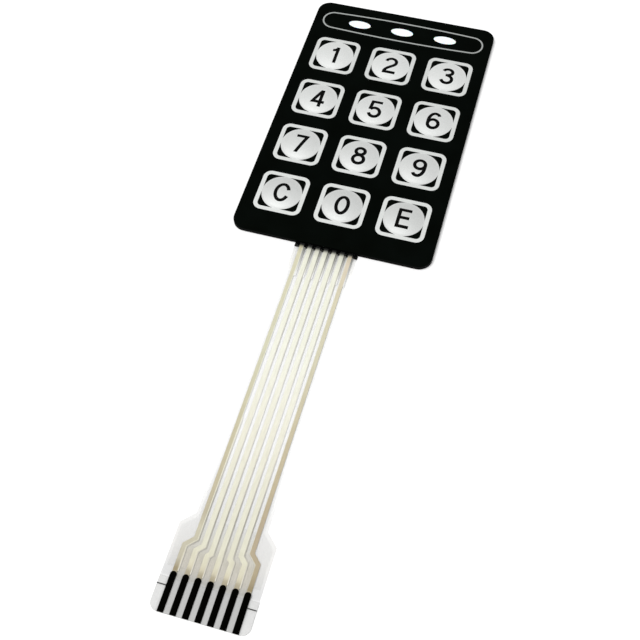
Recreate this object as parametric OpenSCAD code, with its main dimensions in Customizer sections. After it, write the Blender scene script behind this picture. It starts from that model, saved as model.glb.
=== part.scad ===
// Flat membrane keypad with twelve raised keys, three indicator windows
// and a printed flexible tail that ends in seven contact fingers.
// The keypad lies on its back. Z is up, X runs to the right of the keys
// and Y runs from the tail towards the windows.
// The origin is the middle of the head's rear face. Lengths are in millimetres.

/* [Head] */
// Margin of the head beside the outer keys' frames
side_margin = 3.15; // [2.8:0.05:10]
// Margin of the head below the last keys' frames
tail_margin = 6.45; // [5.8:0.05:15]
// Margin of the head above the line round the windows
top_margin = 2.8; // [1:0.05:10]
// Corner radius of the head
head_r = 3.2; // [0.5:0.1:5]

/* [Keys] */
// Spacing of the key columns
col_pitch = 15; // [14:0.1:22]
// Spacing of the key rows
row_pitch = 15.6; // [14:0.1:22]
// Side of the printed frame round a key
frame_w = 11.7; // [10:0.1:12.5]
// Outer corner radius of the printed frame
frame_r = 2; // [1.2:0.1:3]
// Line width of the printed frame
frame_line = 1; // [0.4:0.05:1.1]
// Width by which a key's printed disc laps into its frame's line
disc_lap = 0.05; // [0.02:0.01:0.4]
// Clearance between a frame and the raised part of its key
emboss_gap = 0.25; // [0.1:0.05:1]
// Height of the raised part of a key above the overlay
emboss_h = 0.35; // [0.2:0.05:0.8]

/* [Windows] */
// Distance from the first keys' frames to the line round the windows
window_gap = 3.25; // [2:0.05:10]
// Spacing of the windows
window_pitch = 11.6; // [9:0.1:14]
// Width of a window
window_w = 5.9; // [4:0.1:8]
// Height of a window
window_h = 2.6; // [1.5:0.1:4]
// Width of the ledge that carries a window's rim
window_ledge = 0.4; // [0.2:0.05:0.6]
// Length of the line round the windows
border_w = 43.6; // [36:0.1:45]
// Height of the line round the windows, at its middle
border_h = 7; // [5:0.1:8]
// Height by which the line's long sides bow out
border_bow = 0.5; // [0:0.05:0.8]
// Line width of the line round the windows
border_line = 0.4; // [0.2:0.05:0.8]

/* [Layers] */
// Thickness of the release liner
liner_t = 0.1; // [0.05:0.01:0.2]
// Thickness of the mounting adhesive
mounting_adhesive_t = 0.13; // [0.05:0.01:0.25]
// Thickness of the circuit film
film_t = 0.13; // [0.08:0.01:0.2]
// Thickness of printed conductor
ink_t = 0.03; // [0.01:0.005:0.05]
// Thickness of the insulation under a jumper
insulation_t = 0.03; // [0.01:0.005:0.05]
// Thickness of the dome spacer
spacer_t = 0.35; // [0.3:0.05:0.8]
// Thickness of the adhesive under the overlay
overlay_adhesive_t = 0.06; // [0.03:0.01:0.15]
// Thickness of the graphic overlay
overlay_t = 0.19; // [0.12:0.01:0.3]
// Thickness of the overlay's print
print_t = 0.03; // [0.01:0.005:0.05]

/* [Domes] */
// Diameter of a snap dome across its legs
dome_d = 8.5; // [7:0.1:8.8]
// Rise of a snap dome above its legs
dome_h = 0.32; // [0.2:0.02:0.34]
// Thickness of a snap dome's steel
dome_t = 0.07; // [0.05:0.01:0.1]
// Width of the flat foot under a dome's legs
dome_foot = 0.4; // [0.2:0.05:0.8]
// Radius of the bites between a dome's legs
dome_bite_r = 2; // [1.4:0.1:2.4]
// Clearance round a dome in its pocket
pocket_clear = 0.35; // [0.1:0.05:0.6]
// Width of the vent channels between the pockets
vent_w = 1.5; // [0.5:0.1:2.5]

/* [Printed circuit] */
// Width of the printed lines in the head
line_w = 0.8; // [0.5:0.05:0.9]
// Spacing of the lines that run side by side in the head
lane_pitch = 1.4; // [1.2:0.1:1.5]
// Distance of the outermost line from the head's edge
edge_seal = 1.6; // [1.2:0.1:1.8]
// Width of the ring contact under a dome's legs
ring_w = 1.1; // [0.9:0.05:1.4]
// Diameter of the centre contact under a dome
pad_d = 2.4; // [1.6:0.1:3]
// Clearance between two printed conductors
print_gap = 0.35; // [0.25:0.05:0.45]
// Length of a jumper's foot
jumper_foot = 0.5; // [0.3:0.05:0.5]
// Corner cut of the printed lines
line_corner = 0.6; // [0.2:0.05:0.6]

/* [Tail] */
// Length of the tail from the head's edge to its tip
tail_l = 89; // [60:0.5:150]
// Margin of the tail beside its outer lines
tail_side = 1.2; // [0.8:0.1:3]
// Distance of the tail's middle line from the head's, to the right
tail_shift = -0.3; // [-1.5:0.1:1.5]
// Spacing of the lines along the tail
track_pitch = 1.94; // [1.6:0.02:2]
// Width of the lines along the tail
track_w = 1; // [0.6:0.05:1.2]
// Length over which the tail comes down from its layer
drop_l = 5; // [3:0.5:10]
// Thickness of the cover film over the lines
cover_t = 0.06; // [0.03:0.01:0.12]
// Distance of the cover film's sides from the tail's sides
cover_inset = 0.6; // [0.2:0.1:0.7]

/* [Contact end] */
// Margin of the contact end beside the outer fingers
contact_side = 1.9; // [1.5:0.1:4]
// Length of the contact end below its shoulders
contact_l = 18; // [16.5:0.1:25]
// Corner radius of the contact end
contact_r = 1.8; // [0.4:0.1:1.8]
// Spacing of the contact fingers
finger_pitch = 2.54; // [2.2:0.01:2.54]
// Width of a contact finger
finger_w = 1.3; // [1.2:0.05:1.6]
// Length of a contact finger
finger_l = 8.2; // [7:0.1:9]
// Distance above the fingers at which the outer lines start to spread
spread_gap = 7.4; // [6:0.1:8]
// Step by which the inner lines start to spread later
spread_step = 1.1; // [0.6:0.05:1.2]
// Distance of the insertion marks from the tip
mark_at = 5.2; // [3:0.1:6.5]
// Line width of the insertion marks
mark_line = 0.2; // [0.1:0.05:0.4]
// Distance from the fingers' tops to the cover film's end
cover_gap = 0.9; // [0.5:0.1:1.5]
// Length of the stiffener under the fingers
stiffener_l = 6.9; // [5:0.1:9]
// Thickness of the stiffener
stiffener_t = 0.2; // [0.1:0.01:0.4]

/* [Hidden] */

// The smoothness of round shapes
$fn = 48;
corner_steps = 8;
oval_steps = 40;
cap_steps = 5;
bend_steps = 6;

// The key field
cols = 3;
rows = 4;
windows = 3;
tracks = 7;

// The disc and the raised part of a key
frame_inner = frame_w - 2 * frame_line;
disc_d = frame_inner + 2 * disc_lap;
emboss_d = frame_inner - 2 * emboss_gap;

// The head's size and the places of the keys and the windows on it
head_w = (cols - 1) * col_pitch + frame_w + 2 * side_margin;
keys_l = (rows - 1) * row_pitch + frame_w;
head_l = tail_margin + keys_l + window_gap + border_h + top_margin;
keys_y = tail_margin + keys_l / 2 - head_l / 2;
window_y = head_l / 2 - top_margin - border_h / 2;

// Heights of the layers' lower faces, from the rear face upwards
liner_z = 0;
mounting_adhesive_z = liner_z + liner_t;
film_z = mounting_adhesive_z + mounting_adhesive_t;
ink_z = film_z + film_t;
jumper_z = ink_z + ink_t + insulation_t;
spacer_z = jumper_z + ink_t;
overlay_adhesive_z = spacer_z + spacer_t;
overlay_z = overlay_adhesive_z + overlay_adhesive_t;
print_z = overlay_z + overlay_t;

// The printed circuit's routes: the side, the lane and the tail track of each line.
// A row line runs above its keys and a column line between two columns of keys.
row_side = [-1, -1, 1, 1];
row_lane = [0, 1, 0, 1];
row_track = [0, 1, 6, 5];
col_side = [1, 1, -1];
col_twin = [0, -1, 1];
col_lane = [2, 3, 2];
col_track = [2, 3, 4];

// Half length of the tunnel in which a column line passes under a jumper
tunnel = line_w / 2 + print_gap;
// Spacing of two column lines that share a gap between keys, so that their jumpers share a foot
twin_pitch = 2 * (tunnel + jumper_foot);

// The widths of the tail and of the contact end
tail_w = (tracks - 1) * track_pitch + track_w + 2 * tail_side;
contact_w = (tracks - 1) * finger_pitch + finger_w + 2 * contact_side;

// The tail's places along its length, measured from the head's edge
tail_y = -head_l / 2;
tail_root = 1;
tip = tail_l;
rise_l = drop_l / 2;
rise_at = tip - stiffener_l - rise_l;
shoulder = (contact_w - tail_w) / 2;
shoulder_at = tip - contact_l - shoulder;
finger_top = tip - finger_l;
cover_end = finger_top - cover_gap;

// Margins for cutting tools that pass right through a layer
cut = 0.5;

function key_x(c) = (c - (cols - 1) / 2) * col_pitch;
function key_y(r) = keys_y + ((rows - 1) / 2 - r) * row_pitch;
function window_x(i) = (i - (windows - 1) / 2) * window_pitch;
function track_x(j) = tail_shift + (j - (tracks - 1) / 2) * track_pitch;
function finger_x(j) = tail_shift + (j - (tracks - 1) / 2) * finger_pitch;
function row_run_y(r) = key_y(r) + row_pitch / 2;
function col_run_x(c) = key_x(c) + col_side[c] * col_pitch / 2 + col_twin[c] * twin_pitch / 2;
function lane_y(k) = tail_y + edge_seal + k * lane_pitch;
function bus_x(side, k) = side * (head_w / 2 - edge_seal - k * lane_pitch);

// Points of a quarter round about (x, y), starting at angle a
function corner(x, y, r, a) =
    let (turn = 90 / corner_steps)
    [for (i = [0:corner_steps]) [x, y] + r * [cos(a + turn * i), sin(a + turn * i)]];

// Outline of a rectangle w by l with corners of radius r, about the origin
function rounded_rect(w, l, r) = concat(
    corner(w / 2 - r, l / 2 - r, r, 0),
    corner(r - w / 2, l / 2 - r, r, 90),
    corner(r - w / 2, r - l / 2, r, 180),
    corner(w / 2 - r, r - l / 2, r, 270)
);

// Outline of a long shape w by h about the origin, with round ends and sides that bow out
function bowed_side(l, h, bow) = [for (i = [0:corner_steps])
    let (t = 1 - 2 * i / corner_steps)
    [l * t, h / 2 - bow * t * t]];
function round_end(x, r) = [for (i = [1:2 * corner_steps - 1])
    let (a = 90 + 90 * i / corner_steps)
    [x + r * cos(a), r * sin(a)]];
function bowed_shape(w, h, bow) =
    let (r = h / 2 - bow)
    let (half = concat(bowed_side(w / 2 - r, h, bow), round_end(r - w / 2, r)))
    concat(half, -half);

// Outline of an oval w by h about the origin
function oval(w, h) = [for (i = [0:oval_steps - 1])
    [w / 2 * cos(360 * i / oval_steps), h / 2 * sin(360 * i / oval_steps)]];

// Directions along a line from a to b and to its left
function direction(a, b) = (b - a) / norm(b - a);
function side_of(a, b) = let (d = direction(a, b)) [-d.y, d.x];

// Outline of a line of width w along path p, mitred at its corners
function mitre(p, i, w) =
    let (last = len(p) - 1)
    let (before = side_of(p[max(i - 1, 0)], p[max(i, 1)]))
    let (after = side_of(p[min(i, last - 1)], p[min(i + 1, last)]))
    w / 2 * (before + after) / (1 + before * after);
function ribbon(p, w) = concat(
    [for (i = [0:len(p) - 1]) p[i] + mitre(p, i, w)],
    [for (i = [len(p) - 1:-1:0]) p[i] - mitre(p, i, w)]
);

// Path p with each inner corner cut off at a distance c from it
function cut_corners(p, c) = let (last = len(p) - 1) [
    for (i = [0:last]) each i == 0 || i == last
        ? [p[i]]
        : [p[i] + c * direction(p[i], p[i - 1]), p[i] + c * direction(p[i], p[i + 1])]
];

// Height of a shallow round cap of rise h and radius a, at radius r
function cap_z(r, a, h) = h * (1 - pow(r / a, 2));
function cap_radii(a) = [for (i = [0:cap_steps]) a * i / cap_steps];

// Side view of the tail: how high a film's lower face lies above the table,
// at a distance d from the head's edge
function ease(t) = (1 - cos(180 * min(1, max(0, t)))) / 2;
function tail_z(d) = film_z * (1 - ease(d / drop_l)) + stiffener_t * ease((d - rise_at) / rise_l);
tail_stations = concat(
    [-tail_root],
    [for (i = [0:bend_steps]) drop_l * i / bend_steps],
    [for (i = [0:bend_steps]) rise_at + rise_l * i / bend_steps],
    [tip]
);

// Places one copy of the children at each key
module at_keys() {
    for (c = [0:cols - 1], r = [0:rows - 1])
        translate([key_x(c), key_y(r), 0])
            children();
}

// Places one copy of the children at each window
module at_windows() {
    for (i = [0:windows - 1])
        translate([window_x(i), window_y, 0])
            children();
}

// A slab between heights z and z + t
module slab(z, t) {
    translate([0, 0, z])
        linear_extrude(t)
            children();
}

module head_outline() {
    polygon(rounded_rect(head_w, head_l, head_r));
}

// Openings under the windows, smaller than the lenses by the ledge
module window_openings(z, t) {
    at_windows()
        slab(z - cut, t + 2 * cut)
            polygon(oval(window_w - 2 * window_ledge, window_h - 2 * window_ledge));
}

// A full sheet of the head with the openings under the windows
module head_sheet(z, t) {
    difference() {
        slab(z, t)
            head_outline();
        window_openings(z, t);
    }
}

// A solid round cap that stands on height z, with a foot below it
module cap(z, foot) {
    a = emboss_d / 2;
    translate([0, 0, z])
        rotate_extrude()
            polygon(concat(
                [[0, -foot]],
                [[a, -foot]],
                [for (i = [cap_steps:-1:0]) [cap_radii(a)[i], cap_z(cap_radii(a)[i], a, emboss_h)]]
            ));
}

// The black front film with its raised keys and the openings for the lenses
module graphic_overlay() {
    color("#0b0e0d")
        difference() {
            union() {
                slab(overlay_z, overlay_t)
                    head_outline();
                at_keys()
                    cap(print_z, overlay_t / 2);
            }
            at_keys()
                cap(overlay_z, cut);
            at_windows()
                slab(overlay_z - cut, overlay_t + 2 * cut)
                    polygon(oval(window_w, window_h));
        }
}

// The outline of one frame between two heights
module key_frame(z, t) {
    inner_r = max(frame_r - frame_line, 0.1);
    slab(z, t)
        difference() {
            polygon(rounded_rect(frame_w, frame_w, frame_r));
            polygon(rounded_rect(frame_inner, frame_inner, inner_r));
        }
}

// The silver frames printed round the keys
module key_frames() {
    color("#dde1de")
        at_keys()
            key_frame(print_z, print_t);
}

// The silver discs printed over the raised keys, trimmed where they meet the frames
module key_discs() {
    a = emboss_d / 2;
    under = [for (r = cap_radii(a)) [r, cap_z(r, a, emboss_h)]];
    over = [for (i = [cap_steps:-1:0]) [under[i].x, under[i].y + print_t]];
    color("#c6cac8")
        at_keys()
            difference() {
                translate([0, 0, print_z])
                    rotate_extrude()
                        polygon(concat(under, [[disc_d / 2, 0]], [[disc_d / 2, print_t]], over));
                key_frame(print_z - cut, emboss_h + 2 * cut);
            }
}

// The thin line printed round the windows
module window_border() {
    inner_w = border_w - 2 * border_line;
    inner_h = border_h - 2 * border_line;
    color("#aeb3b0")
        translate([0, window_y, 0])
            slab(print_z, print_t)
                difference() {
                    polygon(bowed_shape(border_w, border_h, border_bow));
                    polygon(bowed_shape(inner_w, inner_h, border_bow));
                }
}

// The white translucent lenses that fill the overlay's openings
module window_lenses() {
    color("#f6f7f4")
        at_windows()
            slab(overlay_z, overlay_t)
                polygon(oval(window_w, window_h));
}

// The adhesive that holds the overlay, open under the keys
module overlay_adhesive() {
    color("#242625")
        difference() {
            head_sheet(overlay_adhesive_z, overlay_adhesive_t);
            at_keys()
                translate([0, 0, overlay_adhesive_z - cut])
                    cylinder(d = emboss_d, h = overlay_adhesive_t + 2 * cut);
        }
}

// The sheet that holds the domes in pockets, with vent channels between them
module dome_spacer() {
    pocket_d = dome_d + 2 * pocket_clear;
    color("#151717")
        difference() {
            head_sheet(spacer_z, spacer_t);
            translate([0, 0, spacer_z - cut])
                linear_extrude(spacer_t + 2 * cut)
                    union() {
                        at_keys()
                            circle(d = pocket_d);
                        for (c = [0:cols - 1])
                            translate([key_x(c) - vent_w / 2, key_y(rows - 1)])
                                square([vent_w, (rows - 1) * row_pitch]);
                        translate([key_x(0), key_y(1) - vent_w / 2])
                            square([(cols - 1) * col_pitch, vent_w]);
                    }
        }
}

// A thin steel dome that stands on four legs
module snap_dome() {
    a = dome_d / 2 - dome_foot;
    under = [for (r = cap_radii(a)) [r, cap_z(r, a, dome_h)]];
    over = [for (i = [cap_steps:-1:0]) [under[i].x, under[i].y + dome_t]];
    difference() {
        rotate_extrude()
            polygon(concat(under, [[dome_d / 2, 0]], [[dome_d / 2, dome_t]], over));
        for (turn = [0:90:270])
            rotate(turn)
                translate([dome_d / 2 + dome_bite_r / 3, 0, -cut])
                    cylinder(r = dome_bite_r, h = dome_h + dome_t + 2 * cut);
    }
}

// The domes, each on its printed ring
module snap_domes() {
    color("#b8bbbf")
        at_keys()
            translate([0, 0, ink_z + ink_t])
                snap_dome();
}

// Outline of the whole tail, from inside the head to its tip
module tail_outline() {
    half = tail_w / 2;
    wide = contact_w / 2;
    end_y = tail_y - tip;
    translate([tail_shift, 0])
        polygon(concat(
            [[half, tail_y + tail_root], [-half, tail_y + tail_root]],
            [[-half, tail_y - shoulder_at], [-wide, tail_y - shoulder_at - shoulder]],
            corner(contact_r - wide, end_y + contact_r, contact_r, 180),
            corner(wide - contact_r, end_y + contact_r, contact_r, 270),
            [[wide, tail_y - shoulder_at - shoulder], [half, tail_y - shoulder_at]]
        ));
}

// A sheet that follows the tail's side view at a height above the film's lower
// face, cut to the outline of the children
module tail_sheet(height, t) {
    path = [for (d = tail_stations) [tail_y - d, tail_z(d) + height]];
    back = [for (i = [len(path) - 1:-1:0]) path[i] + [0, t]];
    intersection() {
        translate([tail_shift - contact_w, 0, 0])
            rotate([90, 0, 90])
                linear_extrude(2 * contact_w)
                    polygon(concat(path, back));
        translate([0, 0, -cut])
            linear_extrude(film_z + film_t + stiffener_t + 4 * cut)
                children();
    }
}

// The clear film that carries the printed circuit, in one piece with the tail
module circuit_film() {
    color("#e9eeed")
        union() {
            head_sheet(film_z, film_t);
            tail_sheet(0, film_t)
                tail_outline();
        }
}

// Path of one line down the tail and out to its finger
function track_path(j) =
    let (from_middle = abs(j - (tracks - 1) / 2))
    let (start = finger_top - spread_gap + spread_step * ((tracks - 1) / 2 - from_middle))
    let (spread = abs(finger_x(j) - track_x(j)))
    [
        [track_x(j), tail_y + tail_root],
        [track_x(j), tail_y - start],
        [finger_x(j), tail_y - start - max(spread, 0.1)],
        [finger_x(j), tail_y - tip]
    ];

// The part of a line that lies on the tail
module track(j) {
    tail_sheet(film_t, ink_t)
        polygon(ribbon(track_path(j), track_w));
}

// A straight printed bar between two points, in plan
module bar(a, b) {
    polygon(ribbon([a, b], line_w));
}

// The insulation that wraps a column line where a jumper crosses it
module insulation(c, r) {
    translate([col_run_x(c), row_run_y(r), ink_z])
        difference() {
            translate([-tunnel, -tunnel, 0])
                cube([2 * tunnel, 2 * tunnel, ink_t + insulation_t]);
            translate([-line_w / 2, -tunnel - cut, -cut])
                cube([line_w, 2 * (tunnel + cut), ink_t + cut]);
        }
}

// A jumper of a row line, which arches over the insulation
module jumper(c, r) {
    reach = tunnel + jumper_foot;
    translate([col_run_x(c), row_run_y(r), ink_z])
        difference() {
            translate([-reach, -line_w / 2, 0])
                cube([2 * reach, line_w, jumper_z + ink_t - ink_z]);
            translate([-tunnel, -line_w, -cut])
                cube([2 * tunnel, 2 * line_w, jumper_z - ink_z + cut]);
        }
}

// The green insulation patches, one where a row line crosses a column line.
// The first row's line runs above the columns and crosses none.
module jumper_insulation() {
    color("#4c9a6c")
        for (c = [0:cols - 1], r = [1:rows - 1])
            insulation(c, r);
}

// One printed row: centre contacts, jumpers and the way down the tail
module row_line(r) {
    side = row_side[r];
    j = row_track[r];
    far_key = key_x(side < 0 ? cols - 1 : 0);
    path = [
        [far_key - side * line_w / 2, row_run_y(r)],
        [bus_x(side, row_lane[r]), row_run_y(r)],
        [bus_x(side, row_lane[r]), lane_y(row_lane[r])],
        [track_x(j), lane_y(row_lane[r])],
        [track_x(j), tail_y]
    ];
    color("#ddd9bd")
        union() {
            slab(ink_z, ink_t)
                difference() {
                    union() {
                        polygon(ribbon(cut_corners(path, line_corner), line_w));
                        for (c = [0:cols - 1]) {
                            bar([key_x(c), row_run_y(r)], [key_x(c), key_y(r)]);
                            translate([key_x(c), key_y(r)])
                                circle(d = pad_d);
                        }
                    }
                    if (r > 0)
                        for (c = [0:cols - 1])
                            translate([col_run_x(c) - tunnel, row_run_y(r) - line_w])
                                square([2 * tunnel, 2 * line_w]);
                }
            if (r > 0)
                for (c = [0:cols - 1])
                    jumper(c, r);
            track(j);
        }
}

// A ring contact, open above for the row line's stub
module ring_contact() {
    outer = dome_d + ring_w - dome_foot;
    opening = line_w + 2 * print_gap;
    difference() {
        circle(d = outer);
        circle(d = outer - 2 * ring_w);
        translate([-opening / 2, 0])
            square([opening, outer]);
    }
}

// One printed column: ring contacts and the way down the tail
module column_line(c) {
    j = col_track[c];
    ring_r = (dome_d - dome_foot) / 2;
    path = [
        [col_run_x(c), key_y(0) + line_w / 2],
        [col_run_x(c), lane_y(col_lane[c])],
        [track_x(j), lane_y(col_lane[c])],
        [track_x(j), tail_y]
    ];
    color("#ddd9bd")
        union() {
            slab(ink_z, ink_t)
                union() {
                    polygon(ribbon(cut_corners(path, line_corner), line_w));
                    for (r = [0:rows - 1]) {
                        bar([col_run_x(c), key_y(r)], [key_x(c) + col_side[c] * ring_r, key_y(r)]);
                        translate([key_x(c), key_y(r)])
                            ring_contact();
                    }
                }
            track(j);
        }
}

// The clear cover film over the tail's lines
module tail_cover() {
    w = tail_w - 2 * cover_inset;
    wide = contact_w - 2 * cover_inset;
    from_y = tail_y;
    to_y = tail_y - cover_end;
    color("#e3e9e6")
        tail_sheet(film_t + ink_t, cover_t)
            intersection() {
                translate([tail_shift - wide / 2, to_y])
                    square([wide, from_y - to_y]);
                union() {
                    translate([tail_shift - w / 2, to_y])
                        square([w, from_y - to_y]);
                    translate([tail_shift, tail_y - shoulder_at - cover_inset])
                        polygon([
                            [-w / 2, 0], [-wide / 2, -shoulder],
                            [-wide / 2, -tip], [wide / 2, -tip],
                            [wide / 2, -shoulder], [w / 2, 0]
                        ]);
                }
            }
}

// The black carbon fingers, each wrapped round the end of its line
module contact_fingers() {
    z = stiffener_t + film_t;
    color("#0a0a09")
        for (j = [0:tracks - 1])
            translate([finger_x(j), tail_y - tip, z])
                difference() {
                    linear_extrude(2 * ink_t)
                        union() {
                            translate([-finger_w / 2, 0])
                                square([finger_w, finger_l - finger_w / 2]);
                            translate([0, finger_l - finger_w / 2])
                                circle(d = finger_w);
                        }
                    translate([-track_w / 2, -cut, -cut])
                        cube([track_w, finger_l + 2 * cut, ink_t + cut]);
                }
}

// The black lines beside the outer fingers that show how far the end goes in
module insertion_marks() {
    z = stiffener_t + film_t;
    finger_side = (tracks - 1) / 2 * finger_pitch + finger_w / 2;
    color("#2b2c2b")
        for (side = [-1, 1])
            translate([tail_shift + side * (contact_w / 2 + finger_side) / 2, tail_y - tip + mark_at, z])
                linear_extrude(ink_t)
                    square([contact_w / 2 - finger_side, mark_line], center = true);
}

// The strip that makes the contact end stiff enough to push in
module tail_stiffener() {
    color("#f2f2ee")
        intersection() {
            linear_extrude(stiffener_t)
                tail_outline();
            translate([tail_shift - contact_w / 2, tail_y - tip, 0])
                cube([contact_w, stiffener_l, stiffener_t]);
        }
}

// The adhesive that holds the keypad on a panel
module mounting_adhesive() {
    color("#242625")
        head_sheet(mounting_adhesive_z, mounting_adhesive_t);
}

// The paper that covers the mounting adhesive until it is used
module release_liner() {
    color("#f0e8d0")
        head_sheet(liner_z, liner_t);
}

graphic_overlay();
key_frames();
key_discs();
window_border();
window_lenses();
overlay_adhesive();
dome_spacer();
snap_domes();
jumper_insulation();
row_line(0);  // row_line_1
row_line(1);  // row_line_2
row_line(2);  // row_line_3
row_line(3);  // row_line_4
column_line(0);  // column_line_1
column_line(1);  // column_line_2
column_line(2);  // column_line_3
circuit_film();
tail_cover();
contact_fingers();
insertion_marks();
tail_stiffener();
mounting_adhesive();
release_liner();
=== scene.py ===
import math

import bpy
import numpy as np
from mathutils import Euler, Matrix, Vector
from mathutils.geometry import delaunay_2d_cdt


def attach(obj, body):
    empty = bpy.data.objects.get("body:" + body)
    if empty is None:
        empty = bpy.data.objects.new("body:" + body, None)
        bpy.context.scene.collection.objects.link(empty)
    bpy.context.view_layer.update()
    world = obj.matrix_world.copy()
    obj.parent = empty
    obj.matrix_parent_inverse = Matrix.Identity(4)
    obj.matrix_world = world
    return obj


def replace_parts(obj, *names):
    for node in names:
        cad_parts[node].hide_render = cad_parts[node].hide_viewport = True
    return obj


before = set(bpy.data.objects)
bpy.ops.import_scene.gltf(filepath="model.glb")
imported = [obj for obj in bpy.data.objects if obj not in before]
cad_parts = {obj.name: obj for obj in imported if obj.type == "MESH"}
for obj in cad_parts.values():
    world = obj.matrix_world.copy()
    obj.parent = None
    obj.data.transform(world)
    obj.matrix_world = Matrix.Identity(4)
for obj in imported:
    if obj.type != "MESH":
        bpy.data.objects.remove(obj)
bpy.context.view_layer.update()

MM = 0.001


def box(node):
    """The lowest and the highest corner of a node of the part, in millimetres."""
    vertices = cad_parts[node].data.vertices
    points = np.empty(3 * len(vertices), np.float32)
    vertices.foreach_get("co", points)
    points = points.reshape(-1, 3).astype(float) / MM
    return points.min(axis=0).round(3), points.max(axis=0).round(3)


# Sizes and places in millimetres: from the boxes of the part's nodes, or as in the part's source
HEAD_LOW, HEAD_HIGH = box("graphic_overlay")
FRAMES_LOW, FRAMES_HIGH = box("key_frames")
STRIP_LOW, STRIP_HIGH = box("tail_stiffener")

HEAD_HALF = HEAD_HIGH[0]
HEAD_EDGE_Y = HEAD_LOW[1]
HEAD_CORNER_R = 3.2

LEGENDS = ("1", "2", "3", "4", "5", "6", "7", "8", "9", "C", "0", "E")
FRAME_W = 11.7
KEY_X = np.linspace(FRAMES_LOW[0] + FRAME_W / 2, FRAMES_HIGH[0] - FRAME_W / 2, 3)
KEY_Y = np.linspace(FRAMES_HIGH[1] - FRAME_W / 2, FRAMES_LOW[1] + FRAME_W / 2, 4)
PRINT_Z = FRAMES_LOW[2]
# The round form pressed into each key, and the disc of silver ink over it
EMBOSS_R = 4.6
EMBOSS_H = 0.35
DISC_R = 4.9
DISC_T = 0.02

TIP_Y = STRIP_LOW[1]
TIP_CORNER_R = 1.8
TAIL_X = (STRIP_LOW[0] + STRIP_HIGH[0]) / 2
TAIL_HALF = 7.52
CONTACT_HALF = STRIP_HIGH[0] - TAIL_X
SHOULDER_Y = TIP_Y + 18.0
STIFFENER_L = STRIP_HIGH[1] - TIP_Y
STIFFENER_T = STRIP_HIGH[2]
FILM_Z = box("mounting_adhesive")[1][2]
FILM_T = box("circuit_film")[1][2] - FILM_Z
# The film comes down from its layer over this length behind the head's edge
DROP_L = 5.0

LINES = 7
MIDDLE_LINE = LINES // 2
TRACK_PITCH = 1.94
TRACK_W = 1.0
LINE_T = 0.03
FINGER_PITCH = 2.54
FINGER_L = box("contact_fingers")[1][1] - TIP_Y
# The outer lines spread so far above the fingers, and each line further in spreads a step lower
SPREAD_GAP = 7.4
SPREAD_STEP = 1.1

# Gaps that keep faces of different pieces from lying in one plane
HAIR = 0.002
FILM_GAP = 0.004


# Camera

# Where the photograph was taken from, in metres, and the turns about x, y and z in degrees
CAMERA_AT = (0.040194, -0.165722, 0.192321)
CAMERA_TURN = (30.6369, 1.5314, 16.1808)
CAMERA_LENS = 56.4987
SENSOR_W = 36.0


def add_camera():
    """The camera at the photograph's viewing angle."""
    data = bpy.data.cameras.new("camera")
    data.sensor_width = SENSOR_W
    data.lens = CAMERA_LENS
    data.clip_start = 0.01
    camera = bpy.data.objects.new("camera", data)
    bpy.context.scene.collection.objects.link(camera)
    turn = Euler([math.radians(angle) for angle in CAMERA_TURN]).to_matrix().to_4x4()
    camera.matrix_world = Matrix.Translation(CAMERA_AT) @ turn
    bpy.context.scene.camera = camera


# Material tools

def linear(code):
    """An sRGB hex colour as linear red, green, blue and alpha."""
    parts = [int(code[i:i + 2], 16) / 255 for i in (1, 3, 5)]
    return [p / 12.92 if p <= 0.04045 else ((p + 0.055) / 1.055) ** 2.4 for p in parts] + [1.0]


def add(tree, kind, links=None, stops=None, **settings):
    """Adds one node. links gives its inputs a value or another node's output, and stops a ramp's colours."""
    node = tree.nodes.new("ShaderNode" + kind)
    for name, value in settings.items():
        setattr(node, name, value)
    for socket, value in (links or {}).items():
        if isinstance(value, bpy.types.NodeSocket):
            tree.links.new(value, node.inputs[socket])
        else:
            node.inputs[socket].default_value = value
    if stops:
        ramp = node.color_ramp
        while len(ramp.elements) < len(stops):
            ramp.elements.new(1.0)
        for element, (place, code) in zip(ramp.elements, stops):
            element.position = place
            element.color = linear(code)
    return node


def start_material(name, **shader):
    """A new material with one shader, whose plain settings are given by their names with underscores."""
    material = bpy.data.materials.new(name)
    material.use_nodes = True
    tree = material.node_tree
    tree.nodes.clear()
    links = {key.replace("_", " "): value for key, value in shader.items()}
    surface = add(tree, "BsdfPrincipled", links)
    add(tree, "OutputMaterial", {"Surface": surface.outputs[0]})
    return material, tree, surface


def grain(tree, size, detail=2.0, stretch=(1, 1, 1)):
    """A soft random pattern whose blots measure size millimetres, times stretch along each axis."""
    place = add(tree, "TexCoord").outputs["Object"]
    scale = [1 / (MM * size * s) for s in stretch]
    scaled = add(tree, "Mapping", {"Vector": place, "Scale": scale}).outputs[0]
    return add(tree, "TexNoise", {"Vector": scaled, "Scale": 1.0, "Detail": detail}).outputs[0]


def along(tree, axis, low, high):
    """A ramp's factor that runs from 0 at low to 1 at high millimetres along an axis of the part."""
    place = add(tree, "TexCoord").outputs["Object"]
    value = add(tree, "SeparateXYZ", {"Vector": place}).outputs[axis]
    return add(tree, "MapRange", {
        "Value": value, "From Min": low * MM, "From Max": high * MM}).outputs[0]


def tail_tones(tree, tones):
    """A colour that changes along the tail. tones gives it at distances from the tip, in millimetres."""
    length = HEAD_EDGE_Y - TIP_Y
    stops = [(distance / length, code) for distance, code in tones]
    return add(tree, "ValToRGB", {"Fac": along(tree, 1, TIP_Y, HEAD_EDGE_Y)}, stops).outputs[0]


def roughen(tree, surface, pattern, height, low, high):
    """Lets a pattern raise the surface by height millimetres and vary its roughness from low to high."""
    bump = add(tree, "Bump", {"Height": pattern, "Strength": 1.0, "Distance": height * MM})
    rough = add(tree, "MapRange", {"Value": pattern, "To Min": low, "To Max": high})
    tree.links.new(bump.outputs[0], surface.inputs["Normal"])
    tree.links.new(rough.outputs[0], surface.inputs["Roughness"])


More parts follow.
